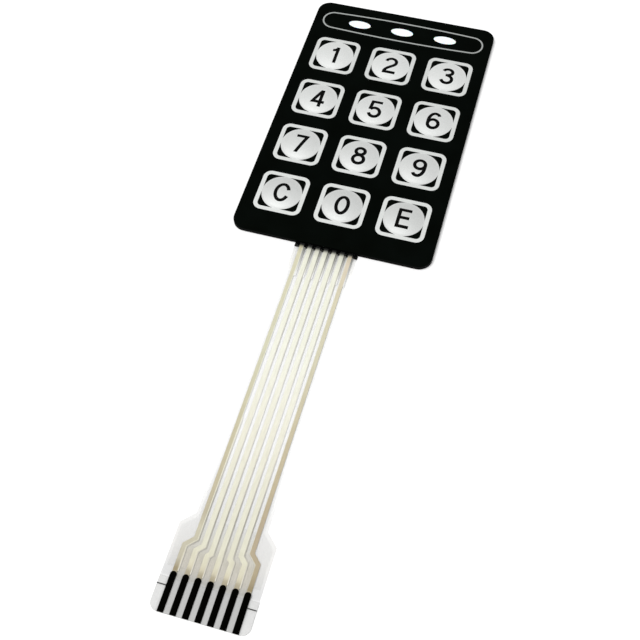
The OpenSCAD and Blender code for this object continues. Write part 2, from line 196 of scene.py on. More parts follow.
def mottle(tree, pattern, dark, light):
    """The two colours between which a pattern varies."""
    return add(tree, "ValToRGB", {"Fac": pattern}, [(0.3, dark), (0.7, light)]).outputs[0]


def blend_colours(tree, factor, first, second, kind="MIX"):
    """Two colours mixed by a factor, or multiplied or added. The numbers are the node's colour sockets."""
    links = {0: factor, 6: first, 7: second}
    return add(tree, "Mix", links, data_type="RGBA", blend_type=kind).outputs[2]


# Materials

def textured_polyester():
    """Polyester film with a fine texture pressed into its face and black printed on its rear: deep black,
    no shine. The texture's grain of about a tenth of a millimetre is drawn coarser, so that it shows."""
    material, tree, surface = start_material("textured_polyester", IOR=1.57, Specular_IOR_Level=0.006)
    pattern = grain(tree, 0.35, 3.0)
    tree.links.new(mottle(tree, grain(tree, 6.0), "#030503", "#050806"), surface.inputs["Base Color"])
    roughen(tree, surface, pattern, 0.004, 0.42, 0.62)
    return material


# From the last keys' feet to the first keys' heads
KEYS_LOW_Y = -31.0
KEYS_HIGH_Y = 24.0


def silver_ink(name, dark, light, low, high, foot="#ffffff"):
    """Screen-printed ink full of aluminium flakes: a bright satin that changes with the light. Towards the
    tail
    the colour darkens to the foot tone: painted shade of the lower keys, which a bowed head turns away from
    the light. The flakes measure a few hundredths of a millimetre and are drawn coarser, so that they show."""
    material, tree, surface = start_material(name, IOR=1.5, Metallic=0.7)
    flakes = grain(tree, 0.14, 2.0)
    foot_to_head = along(tree, 1, KEYS_LOW_Y, KEYS_HIGH_Y)
    # Painted shade: the colour darkens to the foot tone towards the tail
    painted_bow_shade = add(tree, "ValToRGB", {"Fac": foot_to_head}, [(0, foot), (1, "#ffffff")]).outputs[0]
    colour = blend_colours(tree, 1.0, mottle(tree, flakes, dark, light), painted_bow_shade, "MULTIPLY")
    tree.links.new(colour, surface.inputs["Base Color"])
    roughen(tree, surface, flakes, 0.0025, low, high)
    return material


def diffuser():
    """White translucent polycarbonate, moulded smooth: an even white with a faint shine."""
    material, tree, surface = start_material(
        "diffusing_polycarbonate", IOR=1.58, Subsurface_Weight=0.3, Subsurface_Scale=0.6 * MM)
    tree.links.new(mottle(tree, grain(tree, 1.6), "#f7f8f5", "#fdfefc"), surface.inputs["Base Color"])
    roughen(tree, surface, grain(tree, 0.5), 0.001, 0.18, 0.26)
    return material


def legend_ink():
    """Black screen ink over the silver: flat black with soft edges and no shine."""
    material, tree, surface = start_material("black_screen_ink", IOR=1.5, Specular_IOR_Level=0.02)
    pattern = grain(tree, 0.2)
    tree.links.new(mottle(tree, pattern, "#050505", "#0b0c0b"), surface.inputs["Base Color"])
    roughen(tree, surface, pattern, 0.002, 0.5, 0.65)
    return material


def clear_film(name, alpha, tones):
    """Clear drawn polyester: a thin milky haze with a smooth shine, whose tone changes along the tail."""
    material, tree, surface = start_material(name, IOR=1.57, Alpha=alpha, Specular_IOR_Level=0.3)
    cloud = mottle(tree, grain(tree, 2.5), "#fafafa", "#ffffff")
    colour = blend_colours(tree, 1.0, tail_tones(tree, tones), cloud, "MULTIPLY")
    tree.links.new(colour, surface.inputs["Base Color"])
    roughen(tree, surface, grain(tree, 3.0, 1.0, (1, 4, 1)), 0.004, 0.12, 0.2)
    return material


def line_ink(name, tones):
    """Printed ink of the tail's lines: matt, with a faint grain along the line and tones along the tail."""
    material, tree, surface = start_material(name, IOR=1.5, Specular_IOR_Level=0.2)
    streaks = mottle(tree, grain(tree, 0.3, 3.0, (1, 6, 1)), "#f4f4f2", "#ffffff")
    colour = blend_colours(tree, 1.0, tail_tones(tree, tones), streaks, "MULTIPLY")
    tree.links.new(colour, surface.inputs["Base Color"])
    roughen(tree, surface, grain(tree, 0.15), 0.003, 0.45, 0.6)
    return material


def carbon_ink():
    """Printed carbon, baked hard: dead black, with hair scratches where a connector has wiped it."""
    material, tree, surface = start_material("carbon_ink", IOR=1.5, Specular_IOR_Level=0.003)
    base = mottle(tree, grain(tree, 0.18), "#010100", "#040403")
    hairs = add(tree, "ValToRGB", {"Fac": grain(tree, 0.25, 4.0, (8, 0.35, 1))}, [
        (0.68, "#000000"), (0.76, "#141412")]).outputs[0]
    tree.links.new(blend_colours(tree, 1.0, base, hairs, "ADD"), surface.inputs["Base Color"])
    roughen(tree, surface, grain(tree, 0.12), 0.003, 0.45, 0.6)
    return material


def plain_finish(name, dark, light, blot, relief, rough, **shader):
    """A finish with one blotchy pattern: its blots and their relief in millimetres, and its roughness
    from and to."""
    material, tree, surface = start_material(name, **shader)
    pattern = grain(tree, blot, 3.0)
    tree.links.new(mottle(tree, pattern, dark, light), surface.inputs["Base Color"])
    roughen(tree, surface, pattern, relief, *rough)
    return material


# The milky strip's ramp reaches so far to each side of the tail's middle
STRIP_RAMP_HALF = 10.0


def milky_strip():
    """Milky polyester strip: dull white, faintly clouded, its upper side darker under and between the outer
    fingers as painted shade of the fingers.
    """
    material, tree, surface = start_material("milky_polyester", IOR=1.57)
    pattern = grain(tree, 1.2, 3.0)
    across = along(tree, 0, TAIL_X - STRIP_RAMP_HALF, TAIL_X + STRIP_RAMP_HALF)
    # Painted shade of the fingers: the upper side darker between the outer fingers
    between = add(tree, "ValToRGB", {"Fac": across}, [
        (0.06, "#ffffff"), (0.1, "#cdcdcc"), (0.9, "#cdcdcc"), (0.94, "#ffffff")]).outputs[0]
    pale = mottle(tree, pattern, "#d4d4d3", "#dadad9")
    painted_finger_shade = blend_colours(tree, 1.0, pale, between, "MULTIPLY")
    upwards = along(tree, 2, 0, STIFFENER_T)
    tree.links.new(blend_colours(tree, upwards, pale, painted_finger_shade), surface.inputs["Base Color"])
    roughen(tree, surface, pattern, 0.003, 0.35, 0.45)
    return material


# The liner's slit runs along the part here, in the middle of a ramp that reaches so far to each side
SLIT_X = 6.0
SLIT_RAMP_HALF = 1.0


def liner_paper():
    """Glassine paper with a silicone coat: cream, smooth and slightly shiny, with fibres and
    a slit for peeling. Its cut edges, the faces that look sideways, are darkened as painted shade."""
    material, tree, surface = start_material("siliconised_glassine", IOR=1.45, Specular_IOR_Level=0.4)
    fibres = grain(tree, 0.35, 4.0, (5, 1, 1))
    paper = mottle(tree, fibres, "#e6dcc4", "#f2ead6")
    slit = add(tree, "ValToRGB", {"Fac": along(tree, 0, SLIT_X - SLIT_RAMP_HALF, SLIT_X + SLIT_RAMP_HALF)}, [
        (0.44, "#ffffff"), (0.48, "#8d8672"), (0.52, "#8d8672"), (0.56, "#ffffff")]).outputs[0]
    colour = blend_colours(tree, 1.0, paper, slit, "MULTIPLY")
    # Painted shade: faces that look sideways are darkened
    facing = add(tree, "SeparateXYZ", {"Vector": add(tree, "TexCoord").outputs["Normal"]}).outputs[2]
    flat = add(tree, "Math", {0: facing}, operation="ABSOLUTE").outputs[0]
    painted_edge_shade = add(tree, "ValToRGB", {"Fac": flat}, [(0.4, "#0c0c0b"), (0.6, "#ffffff")]).outputs[0]
    colour = blend_colours(tree, 1.0, colour, painted_edge_shade, "MULTIPLY")
    tree.links.new(colour, surface.inputs["Base Color"])
    roughen(tree, surface, fibres, 0.004, 0.32, 0.45)
    return material


def floor_paper():
    """White background paper: matt and even."""
    material, tree, surface = start_material("background_paper", Specular_IOR_Level=0.0)
    pattern = grain(tree, 30.0)
    tree.links.new(mottle(tree, pattern, "#fcfcfc", "#fefefe"), surface.inputs["Base Color"])
    roughen(tree, surface, pattern, 0.01, 0.9, 1.0)
    return material


# Mesh tools

def new_piece(name, vertices, faces, material, smooth=False):
    """Makes a piece from vertices in millimetres, which rides on the keypad's one body."""
    mesh = bpy.data.meshes.new(name)
    mesh.from_pydata((np.asarray(vertices) * MM).tolist(), [], [list(map(int, f)) for f in faces])
    mesh.polygons.foreach_set("use_smooth", np.full(len(mesh.polygons), smooth))
    mesh.materials.append(material)
    mesh.update()
    piece = bpy.data.objects.new(name, mesh)
    bpy.context.scene.collection.objects.link(piece)
    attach(piece, "root")
    return piece


def turned(profile, steps):
    """A closed form turned about the upright axis. The profile runs from the axis at the top, outwards,
    and back to the axis at the bottom: vertex (i, j) is (r_i cos a_j, r_i sin a_j, z_i)."""
    profile = np.asarray(profile, float)
    angle = np.arange(steps) * 2 * math.pi / steps
    radius, height = profile[1:-1, 0, None], profile[1:-1, 1, None]
    rings = np.stack([radius * np.cos(angle), radius * np.sin(angle), height + 0 * angle], -1)
    vertices = np.vstack([[[0, 0, profile[0, 1]]], rings.reshape(-1, 3), [[0, 0, profile[-1, 1]]]])
    count = len(rings)
    i, j = np.meshgrid(np.arange(count - 1), np.arange(steps), indexing="ij")
    here, after = 1 + i * steps + j, 1 + i * steps + (j + 1) % steps
    faces = np.stack([here, here + steps, after + steps, after], -1).reshape(-1, 4).tolist()
    j = np.arange(steps)
    faces += [[0, 1 + a, 1 + (a + 1) % steps] for a in j]
    last, first = len(vertices) - 1, 1 + (count - 1) * steps
    faces += [[last, first + (a + 1) % steps, first + a] for a in j]
    return vertices, faces


def copies(vertices, faces, places):
    """The same form at several places, as one mesh."""
    count = len(vertices)
    all_vertices = np.concatenate([vertices + np.array(p) for p in places])
    all_faces = [[v + k * count for v in f] for k in range(len(places)) for f in faces]
    return all_vertices, all_faces


def side_directions(path):
    """At each point of a flat path, the direction to its left, as long as a mitred corner needs."""
    step = np.diff(path, axis=0)
    step /= np.linalg.norm(step, axis=1)[:, None]
    left = np.stack([-step[:, 1], step[:, 0]], 1)
    before, after = np.vstack([left[:1], left]), np.vstack([left, left[-1:]])
    return (before + after) / (1 + np.sum(before * after, 1))[:, None]


# Keys

# How softly the pressed form runs out into the flat overlay
TOE = 0.02
# The disc's section has finer steps from here outwards, and its rim thins out to a share of the ink
FINE_FROM_R = 4.3
RIM_W = 0.1
RIM_SHARE = 0.3


def crown(radius):
    """Height of a pressed key above the overlay's face: a parabola from EMBOSS_H at its middle to nothing
    at EMBOSS_R, eased into the flat round it by a soft step (the logarithm of one plus an exponential)."""
    parabola = EMBOSS_H * (1 - (radius / EMBOSS_R) ** 2)
    return TOE * np.logaddexp(0, parabola / TOE)


def disc_profile():
    """The ink's section from its middle over the crown and back under it. Its edge thins out as a
    quarter round, and its lower face is the crown's plain parabola."""
    radius = np.concatenate([np.linspace(0, FINE_FROM_R - 0.1, 15), np.linspace(FINE_FROM_R, DISC_R, 13)])
    rim = np.clip((DISC_R - radius) / RIM_W, 0, 1)
    thickness = DISC_T * (RIM_SHARE + (1 - RIM_SHARE) * np.sqrt(1 - (1 - rim) ** 2))
    top = PRINT_Z + crown(radius) + thickness
    under = PRINT_Z + HAIR / 2 + np.maximum(EMBOSS_H * (1 - (radius / EMBOSS_R) ** 2), 0)
    return np.vstack([np.stack([radius, top], 1), np.stack([radius, under], 1)[::-1]])


# Points of a stroke that are closer than this share of a figure's height are one point
SAME_POINT = 0.012


def arc(cx, cy, rx, ry, start, end, steps=14):
    """Points along an ellipse's arc, with angles in degrees."""
    angle = np.radians(np.linspace(start, end, steps))
    return np.stack([cx + rx * np.cos(angle), cy + ry * np.sin(angle)], 1)


def bend(*points, steps=12):
    """Points along a cubic curve with four control points."""
    p = np.array(points, float)
    t = np.linspace(0, 1, steps)[:, None]
    return (1 - t) ** 3 * p[0] + 3 * t * (1 - t) ** 2 * p[1] + 3 * t ** 2 * (1 - t) * p[2] + t ** 3 * p[3]


def line(*points):
    """Straight strokes through some points."""
    return np.array(points, float)


def joined(*parts):
    """Strokes joined end to end, without the points that fall on each other."""
    path = np.vstack(parts)
    apart = np.linalg.norm(np.diff(path, axis=0), axis=1) > SAME_POINT
    return path[np.concatenate([[True], apart])]


# Shares of a figure's height: its stroke, and the middle lines of its lowest and highest strokes
STROKE = 0.152
LOW, HIGH = STROKE / 2, 1 - STROKE / 2
# A figure's height, its ink above the disc's face and below it, and the distance of its inner points
LEGEND_H = 5.6
LEGEND_T = 0.01
LEGEND_SINK = 0.006
LEGEND_STEP = 0.4
# Shifts the inner points, so that none falls on a stroke's edge
OFF_EDGE = (0.013, 0.017)


def stroke_sides(path):
    """At each point of a figure's stroke, the direction to its left. A closed stroke is mitred where it meets
    itself, and an end on the figure's foot or head line is cut level."""
    if np.allclose(path[0], path[-1]):
        return side_directions(np.vstack([path[-2:-1], path, path[1:2]]))[1:-1]
    sides = side_directions(path)
    for end in (0, -1):
        if path[end, 1] in (0.0, 1.0):
            sides[end] = [1 / sides[end, 0], 0]
    return sides


def glyph(sign):
    """The middle lines of a figure's strokes, as lines, arcs and curves: its foot is at 0, its head at 1,
    and its middle at x = 0."""
    six = [
        arc(0, 0.315, 0.235, 0.315 - LOW, 0, 360, 32),
        joined(line((-0.235, 0.315), (-0.235, 0.47)), arc(0.02, 0.5, 0.255, HIGH - 0.5, 180, 90),
               arc(0.02, 0.755, 0.195, HIGH - 0.755, 90, 12, 8)),
    ]
    return {
        "0": [arc(0, 0.5, 0.245, 0.5 - LOW, 0, 360, 40)],
        "1": [line((0.07, 0), (0.07, 1)), arc(-0.16, 1, 0.23, 0.23, -90, 0, 10)],
        "2": [joined(
            arc(0, 0.705, 0.235, HIGH - 0.705, 172, -20),
            bend((0.221, 0.626), (0.15, 0.43), (-0.2, 0.36), (-0.235, LOW)),
        ), line((-0.3, LOW), (0.3, LOW))],
        "3": [
            joined(arc(-0.005, 0.74, 0.215, HIGH - 0.74, 165, -72), line((0.02, 0.54), (-0.08, 0.54))),
            joined(line((-0.08, 0.54), (0.02, 0.54)), arc(0, 0.3, 0.245, 0.3 - LOW, 78, -166)),
        ],
        "4": [line((0.135, 0), (0.135, 1)), line((0.125, 1), (-0.205, 0.275), (0.33, 0.275))],
        "5": [
            line((-0.185, HIGH), (0.25, HIGH)),
            line((-0.185, HIGH + STROKE / 2), (-0.235, 0.45)),
            arc(-0.01, 0.31, 0.245, 0.25, 146, -164, 24),
        ],
        "6": six,
        "7": [line((-0.27, HIGH), (0.2, HIGH), (-0.11, 0))],
        "8": [arc(0, 0.74, 0.2, HIGH - 0.74, 0, 360, 28), arc(0, 0.3, 0.24, 0.3 - LOW, 0, 360, 32)],
        "9": [np.array([0, 1]) - p for p in six],
        "C": [arc(0.01, 0.5, 0.275, 0.5 - LOW, 22, 338, 36)],
        "E": [
            line((-0.22, 0), (-0.22, 1)), line((-0.28, HIGH), (0.27, HIGH)),
            line((-0.28, 0.52), (0.23, 0.52)), line((-0.28, LOW), (0.28, LOW)),
        ],
    }[sign]


def legend_form(sign):
    """A figure as one closed sheet of ink that follows the crown. Each stroke is a row of four-sided fields
    along its middle line; the fields are united in plan, filled with points LEGEND_STEP apart and cut
    into triangles, and each point is then lifted to the crown's height."""
    points, fields = [], []
    for stroke in glyph(sign):
        across = stroke_sides(stroke) * STROKE / 2
        sides = resample(np.hstack([stroke + across, stroke - across]) * LEGEND_H, LEGEND_STEP)
        start, n = len(points), len(sides)
        points += list(sides[:, :2]) + list(sides[:, 2:])
        fields += [[start + n + k, start + n + k + 1, start + k + 1, start + k] for k in range(n - 1)]
    reach = LEGEND_H / 2 + LEGEND_STEP / 2
    grid = np.arange(-reach, reach + 0.01, LEGEND_STEP)
    points += [(x, y + LEGEND_H / 2) for x in grid + OFF_EDGE[0] for y in grid + OFF_EDGE[1]]
    flat, _, triangles, _, _, owners = delaunay_2d_cdt([Vector(p) for p in points], [], fields, 0, 1e-5)
    flat = np.array([(v.x, v.y - LEGEND_H / 2) for v in flat])
    triangles = np.array([t for t, owner in zip(triangles, owners) if owner])
    used, triangles = np.unique(triangles, return_inverse=True)
    flat, triangles = flat[used], triangles.reshape(-1, 3)
    a, b, c = (flat[triangles[:, k]] for k in range(3))
    turn = (b[:, 0] - a[:, 0]) * (c[:, 1] - a[:, 1]) - (b[:, 1] - a[:, 1]) * (c[:, 0] - a[:, 0])
    triangles[turn < 0] = triangles[turn < 0][:, ::-1]
    count = len(flat)
    ground = PRINT_Z + DISC_T + crown(np.linalg.norm(flat, axis=1))
    top, under = ground + LEGEND_T, ground - LEGEND_SINK
    vertices = np.vstack([np.column_stack([flat, top]), np.column_stack([flat, under])])
    edges = np.concatenate([triangles[:, [0, 1]], triangles[:, [1, 2]], triangles[:, [2, 0]]])
    known = {tuple(e) for e in edges}
    rim = [e for e in map(tuple, edges) if (e[1], e[0]) not in known]
    faces = triangles.tolist() + (triangles[:, ::-1] + count).tolist()
    faces += [[p, p + count, q + count, q] for p, q in rim]
    return vertices, faces


def build_keys(disc_ink, black_ink):
    """The silver discs over the twelve crowns as one piece, and a legend on each."""
    places = [(x, y, 0) for y in KEY_Y for x in KEY_X]
    vertices, faces = copies(*turned(disc_profile(), 96), places)
    discs = new_piece("silver_discs", vertices, faces, disc_ink, smooth=True)
    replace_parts(discs, "key_discs")
    for sign, place in zip(LEGENDS, places):
        vertices, faces = legend_form(sign)
        new_piece("legend_" + sign, vertices + np.array(place), faces, black_ink)


# Tail

def ease(t):
    """Half a cosine wave from 0 to 1 while t goes from 0 to 1, and level beyond."""
    return (1 - np.cos(np.pi * np.clip(t, 0, 1))) / 2


def film_height(y):
    """Height of the tail film's lower face: it comes down from its layer behind the head's edge and rises
    again onto the stiffener, both as half a cosine wave."""
    d = HEAD_EDGE_Y - y
    rise_l = DROP_L / 2
    rise_at = HEAD_EDGE_Y - TIP_Y - STIFFENER_L - rise_l
    return FILM_Z * (1 - ease(d / DROP_L)) + STIFFENER_T * ease((d - rise_at) / rise_l)


def line_x(j, y):
    """Where line j's middle is at each y, straight between the corners of its plan."""
    path = track_path(j)[::-1]
    return np.interp(y, path[:, 1], path[:, 0])


# The middle line has no sideways run, and its bend is at least this long
LEAST_SPREAD = 0.1
# The coats on a line end this far above its finger
COAT_END = 0.2


def track_path(j):
    """Plan of line j: down the tail, out at 45 degrees, and down to its finger."""
    place = j - MIDDLE_LINE
    start = TIP_Y + FINGER_L + SPREAD_GAP - SPREAD_STEP * (MIDDLE_LINE - abs(place))
    x, finger_x = TAIL_X + place * TRACK_PITCH, TAIL_X + place * FINGER_PITCH
    end = start - max(abs(finger_x - x), LEAST_SPREAD)
    foot = TIP_Y + FINGER_L + COAT_END
    return np.array([(x, HEAD_EDGE_Y), (x, start), (finger_x, end), (finger_x, foot)])


def resample(path, step):
    """Points no further apart than step along a flat path, its corners kept."""
    parts = []
    for a, b in zip(path, path[1:]):
        n = max(1, math.ceil(np.linalg.norm(b - a) / step))
        parts.append(a + (b - a) * np.linspace(0, 1, n, endpoint=False)[:, None])
    return np.vstack(parts + [path[-1:]])


def carried(path, profile, height):
    """A closed bar: the profile's points (across, up) carried along a flat path, whose height is a function
    of y."""
    left = side_directions(path)
    profile = np.asarray(profile, float)
    flat = path[:, None] + left[:, None] * profile[None, :, :1]
    up = height(flat[..., 1]) + profile[None, :, 1]
    vertices = np.concatenate([flat, up[..., None]], -1).reshape(-1, 3)
    n, k = len(path), len(profile)
    i, j = np.meshgrid(np.arange(n - 1), np.arange(k), indexing="ij")
    here, beside = i * k + j, i * k + (j + 1) % k
    faces = np.stack([here, beside, beside + k, here + k], -1).reshape(-1, 4).tolist()
    faces += [list(range(k))[::-1], list(range((n - 1) * k, n * k))]
    return vertices, faces


# The cover film: its distance to the tail's sides, its end above the fingers, and its thickness
COVER_INSET = 0.6
COVER_END_Y = box("tail_cover")[0][1]
COVER_T = 0.05
# Room between the lines and the cover film for the stains
COVER_GAP = 0.008
# Between the lines the film sinks, from so far beside a line's edge and over so short a way
SINK = 0.022
SINK_FROM = 0.05
SINK_W = 0.3
# From here towards the tip the cover's grid is finer
FINE_FROM_Y = TIP_Y + 24.0


def cover_half(y):
    """Half width of the cover film: it keeps its distance to the tail's sides, also where they widen."""
    wider = CONTACT_HALF - TAIL_HALF
    return TAIL_HALF - COVER_INSET + np.clip(SHOULDER_Y + wider - COVER_INSET - y, 0, wider)


def cover_face(u, y):
    """The cover film's lower face. Point (u, y) is u half widths from the tail's middle. The film lies on
    each printed line and sinks between the lines, as half a cosine wave over SINK_W."""
    x = TAIL_X + u * cover_half(y)
    off = np.min([np.abs(x - line_x(j, y)) for j in range(LINES)], axis=0)
    sunk = SINK * ease((off - TRACK_W / 2 - SINK_FROM) / SINK_W)
    z = film_height(y) + FILM_T + LINE_T + COVER_GAP - sunk
    return np.stack([x, y, z], -1)


def build_cover(film):
    """The clear cover film, draped over the lines, as two grids joined round their edges."""
    drop_end = HEAD_EDGE_Y - DROP_L
    u, y = np.meshgrid(np.linspace(-1, 1, 141), np.concatenate([
        np.linspace(HEAD_EDGE_Y, drop_end, 12), np.linspace(drop_end - 2, FINE_FROM_Y, 30),
        np.linspace(FINE_FROM_Y - 0.5, COVER_END_Y, 50)]))
    low = cover_face(u, y)
    rows, columns = u.shape
    count = rows * columns
    i, j = np.meshgrid(np.arange(rows - 1), np.arange(columns - 1), indexing="ij")
    here = (i * columns + j).ravel()
    under = np.stack([here, here + 1, here + columns + 1, here + columns], -1)
    rim = np.concatenate([
        np.arange(columns), np.arange(2, rows) * columns - 1,
        np.arange(count - 1, count - columns - 1, -1), np.arange(rows - 2, 0, -1) * columns])
    after = np.roll(rim, -1)
    side = np.stack([rim, rim + count, after + count, after], -1)
    faces = np.concatenate([under, under[:, ::-1] + count, side]).tolist()
    vertices = np.concatenate([low.reshape(-1, 3), low.reshape(-1, 3) + [0, 0, COVER_T]])
    cover = new_piece("draped_cover_film", vertices, faces, film)
    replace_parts(cover, "tail_cover")


# The dark bar of painted shadow under the tail's root, whose lower face is just above the release liner
ROOT_SHADOW_L = 1.1
ROOT_SHADOW_Z = 0.11


def build_root_shadow_strip(adhesive):
    """Painted shadow of the head's edge: a dark bar across the tail just past the head's edge, under the
    film, whose top follows the film's lower face."""
    y = np.linspace(HEAD_EDGE_Y, HEAD_EDGE_Y - ROOT_SHADOW_L, 6)
    section = list(zip(y, film_height(y) - HAIR)) + [(y[-1], ROOT_SHADOW_Z), (y[0], ROOT_SHADOW_Z)]
    n = len(section)
    vertices = [(x, *point) for x in (TAIL_X - TAIL_HALF, TAIL_X + TAIL_HALF) for point in section]
    faces = [[k, (k + 1) % n, (k + 1) % n + n, k + n] for k in range(n)]
    faces += [list(range(n))[::-1], list(range(n, 2 * n))]
    new_piece("painted_root_shadow_strip", vertices, faces, adhesive)


# The strip of painted shadow beside a line, and where it starts below the head's edge: on the leftmost line,
# lower
EDGE_W = 0.22
EDGE_TOP_W = 0.8 * EDGE_W
EDGE_T = 0.014
EDGE_FROM = 1.0
LEFT_EDGE_FROM = 46.0
# The painted shade beside the lines near the head, from a line's edge outwards: the rightmost line's is
# narrower
ROOT_SHADE_W = 0.5
RIGHT_ROOT_SHADE_W = 0.3
ROOT_SHADE_T = 0.006
ROOT_SHADE_L = 8.0
# The brown stains on the outer lines: each ends so far from its line's middle, on the side to the others
STAIN_T = 0.005
STAIN_FROM = 0.6
LEFT_STAIN_TO = 0.36
RIGHT_STAIN_TO = -0.42
STAIN_GAP = 0.0005
# Points along a line's print are no further apart than this
PRINT_STEP = 0.6


def flat_section(a, b, thickness):
    """A flat print's section: a rectangle from a to b across its line."""
    return [(a, 0), (b, 0), (b, thickness), (a, thickness)]


def printed_strips(name, lines, profiles, base, cut, ink, length=None):
    """Thin prints that follow lines of the tail: each profile is carried along its line at the height base
    above the film's lower face, from cut millimetres below the head's edge on, or over a given length."""
    vertices, faces = [], []
    for j, profile in zip(lines, profiles):
        path = track_path(j)
        path[0, 1] -= cut
        if length:
            path = np.array([path[0], path[0] - (0, length)])
        v, f = carried(resample(path, PRINT_STEP), profile, lambda y: film_height(y) + base)
        faces += [[p + len(vertices) for p in q] for q in f]
        vertices += list(v)
    new_piece(name, vertices, faces, ink)


def build_line_edges(shadow_strip_ink, root_shade_material, left_stain, right_stain):
    """Strips of painted shadow on the right of the lines, where each line's shadow falls, wider painted shade
    beside the lines near the head, and the brown stain on the two outer lines. On the leftmost line the
    painted shadow starts only in the tail's lower half."""
    half = TRACK_W / 2
    edge = [(half, 0), (half + EDGE_W, 0), (half + EDGE_TOP_W, EDGE_T), (half, EDGE_T)]
    inner = range(1, LINES - 1)
    # Painted shadow: a grey strip on the right of each line
    printed_strips("line_shadow_strips", inner, [edge] * len(inner), FILM_T, EDGE_FROM, shadow_strip_ink)
    printed_strips("left_line_shadow_strips", (0,), [edge], FILM_T, LEFT_EDGE_FROM, shadow_strip_ink)
    beside, past_edge = half + HAIR, half + EDGE_W + HAIR
    # Painted shade: strips beside the lines near the head's edge
    haze = [flat_section(beside, half + ROOT_SHADE_W, ROOT_SHADE_T)]
    haze += [flat_section(past_edge, half + ROOT_SHADE_W, ROOT_SHADE_T)] * len(inner)
    haze += [flat_section(beside, half + RIGHT_ROOT_SHADE_W, ROOT_SHADE_T)]
    printed_strips("shade_strips_near_head", range(LINES), haze, FILM_T, EDGE_FROM, root_shade_material, ROOT_SHADE_L)
    on_line = FILM_T + LINE_T + STAIN_GAP
    left, right = flat_section(-half, LEFT_STAIN_TO, STAIN_T), flat_section(RIGHT_STAIN_TO, half, STAIN_T)
    printed_strips("left_line_stain", (0,), [left], on_line, STAIN_FROM, left_stain)
    printed_strips("right_line_stain", (LINES - 1,), [right], on_line, STAIN_FROM, right_stain)


def rounded(y, half, end, radius):
    """Half width at y of a form whose corners at the given end are rounded: there the circle's height
    takes over."""
    inside = np.clip((np.abs(y) - abs(end) + radius) / radius, 0, 1)
    return half - radius + radius * np.sqrt(1 - inside ** 2)


def sheet(stations, middle, half, low, high):
    """A sheet through stations along y: at each it reaches half to either side of its middle, between two
    heights."""
    section = [(-half, low), (half, low), (half, high), (-half, high)]
    corners = [np.stack([middle + x, stations, z + 0 * x], -1) for x, z in section]
    vertices = np.stack(corners, 1).reshape(-1, 3)
    n = len(stations)
    i, j = np.meshgrid(np.arange(n - 1) * 4, np.arange(4), indexing="ij")
    here, beside = i + j, i + (j + 1) % 4
    faces = np.stack([here, here + 4, beside + 4, beside], -1).reshape(-1, 4).tolist()
    return vertices, faces + [[0, 1, 2, 3], [4 * n - 1, 4 * n - 2, 4 * n - 3, 4 * n - 4]]


def build_film(film, strip):
    """The clear circuit film from the tip to the head's far end, and the milky strip under its contact end.
    Both are sheets whose half width at each y is that of their outline, with rounded corners."""
    wider = CONTACT_HALF - TAIL_HALF
    round_in = 1 - np.cos(np.linspace(0, np.pi / 2, 12))
    corner = TIP_Y + TIP_CORNER_R * round_in
    stiff_end = TIP_Y + STIFFENER_L
    y = np.concatenate([
        corner, np.linspace(stiff_end, stiff_end + DROP_L / 2, 12), [SHOULDER_Y, SHOULDER_Y + wider],
        np.linspace(HEAD_EDGE_Y - DROP_L, HEAD_EDGE_Y - HAIR / 2, 20)])
    half = rounded(y, TAIL_HALF + np.clip(SHOULDER_Y + wider - y, 0, wider), TIP_Y, TIP_CORNER_R)
    edge = HEAD_EDGE_Y + HEAD_CORNER_R * round_in
    head_y = np.concatenate([edge, -edge[::-1]])
    head_half = rounded(head_y, HEAD_HALF, HEAD_EDGE_Y, HEAD_CORNER_R)
    all_y = np.concatenate([y, head_y])
    low = film_height(all_y)
    middle = np.where(all_y < HEAD_EDGE_Y, TAIL_X, 0)
    all_half = np.concatenate([half, head_half])
    vertices, faces = sheet(all_y, middle, all_half, low + FILM_GAP, low + FILM_T - FILM_GAP)
    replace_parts(new_piece("clear_circuit_film", vertices, faces, film), "circuit_film")
    under = slice(len(corner) + 1)
    vertices, faces = sheet(y[under], TAIL_X, half[under], 0, STIFFENER_T)
    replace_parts(new_piece("milky_stiffener", vertices, faces, strip), "tail_stiffener")


# The sheet of painted shade past the strip's end: where it has stations, as distances from the tip, its lap
# past the outer lines' middles, and how far its two faces are below the film
GAP_SHADE_CLEAR = 0.03
GAP_SHADE_RISE_END = 9.4
GAP_SHADE_FROM, GAP_SHADE_END, GAP_SHADE_STEP = 10.0, 20.1, 0.5
GAP_SHADE_LAP = 0.2
GAP_SHADE_LOW, GAP_SHADE_HIGH = 0.01, 0.004


def build_painted_gap_shade(adhesive):
    """Painted shade between the lines past the strip's end, under the film: a thin sheet that is
    as wide as the outer lines are apart and follows the film's lower face."""
    y = TIP_Y + np.concatenate([
        np.linspace(STIFFENER_L + GAP_SHADE_CLEAR, GAP_SHADE_RISE_END, 12),
        np.arange(GAP_SHADE_FROM, GAP_SHADE_END, GAP_SHADE_STEP)])
    half = line_x(LINES - 1, y) - TAIL_X + GAP_SHADE_LAP
    low = film_height(y)
    vertices, faces = sheet(y, TAIL_X, half, low - GAP_SHADE_LOW, low - GAP_SHADE_HIGH)
    new_piece("painted_gap_shade", vertices, faces, adhesive)


# Floor and light

# In metres and watts
FLOOR_HALF = 4.0
FLOOR_Z = -0.00003
SOFTBOX_AT = (-0.43, -0.22, 1.3)
SOFTBOX_AIM = (0, -0.04, 0)
SOFTBOX_SIZE = 0.9
SOFTBOX_POWER = 13.9
ROOM_LIGHT = 0.6


def build_stage():
    """A plain pale floor under the keypad, wide enough for every view."""
    mesh = bpy.data.meshes.new("floor")
    corners = [(x * FLOOR_HALF, y * FLOOR_HALF, FLOOR_Z) for x, y in ((-1, -1), (1, -1), (1, 1), (-1, 1))]
    mesh.from_pydata(corners, [], [(0, 1, 2, 3)])
    mesh.materials.append(floor_paper())
    floor = bpy.data.objects.new("floor", mesh)
    bpy.context.scene.collection.objects.link(floor)


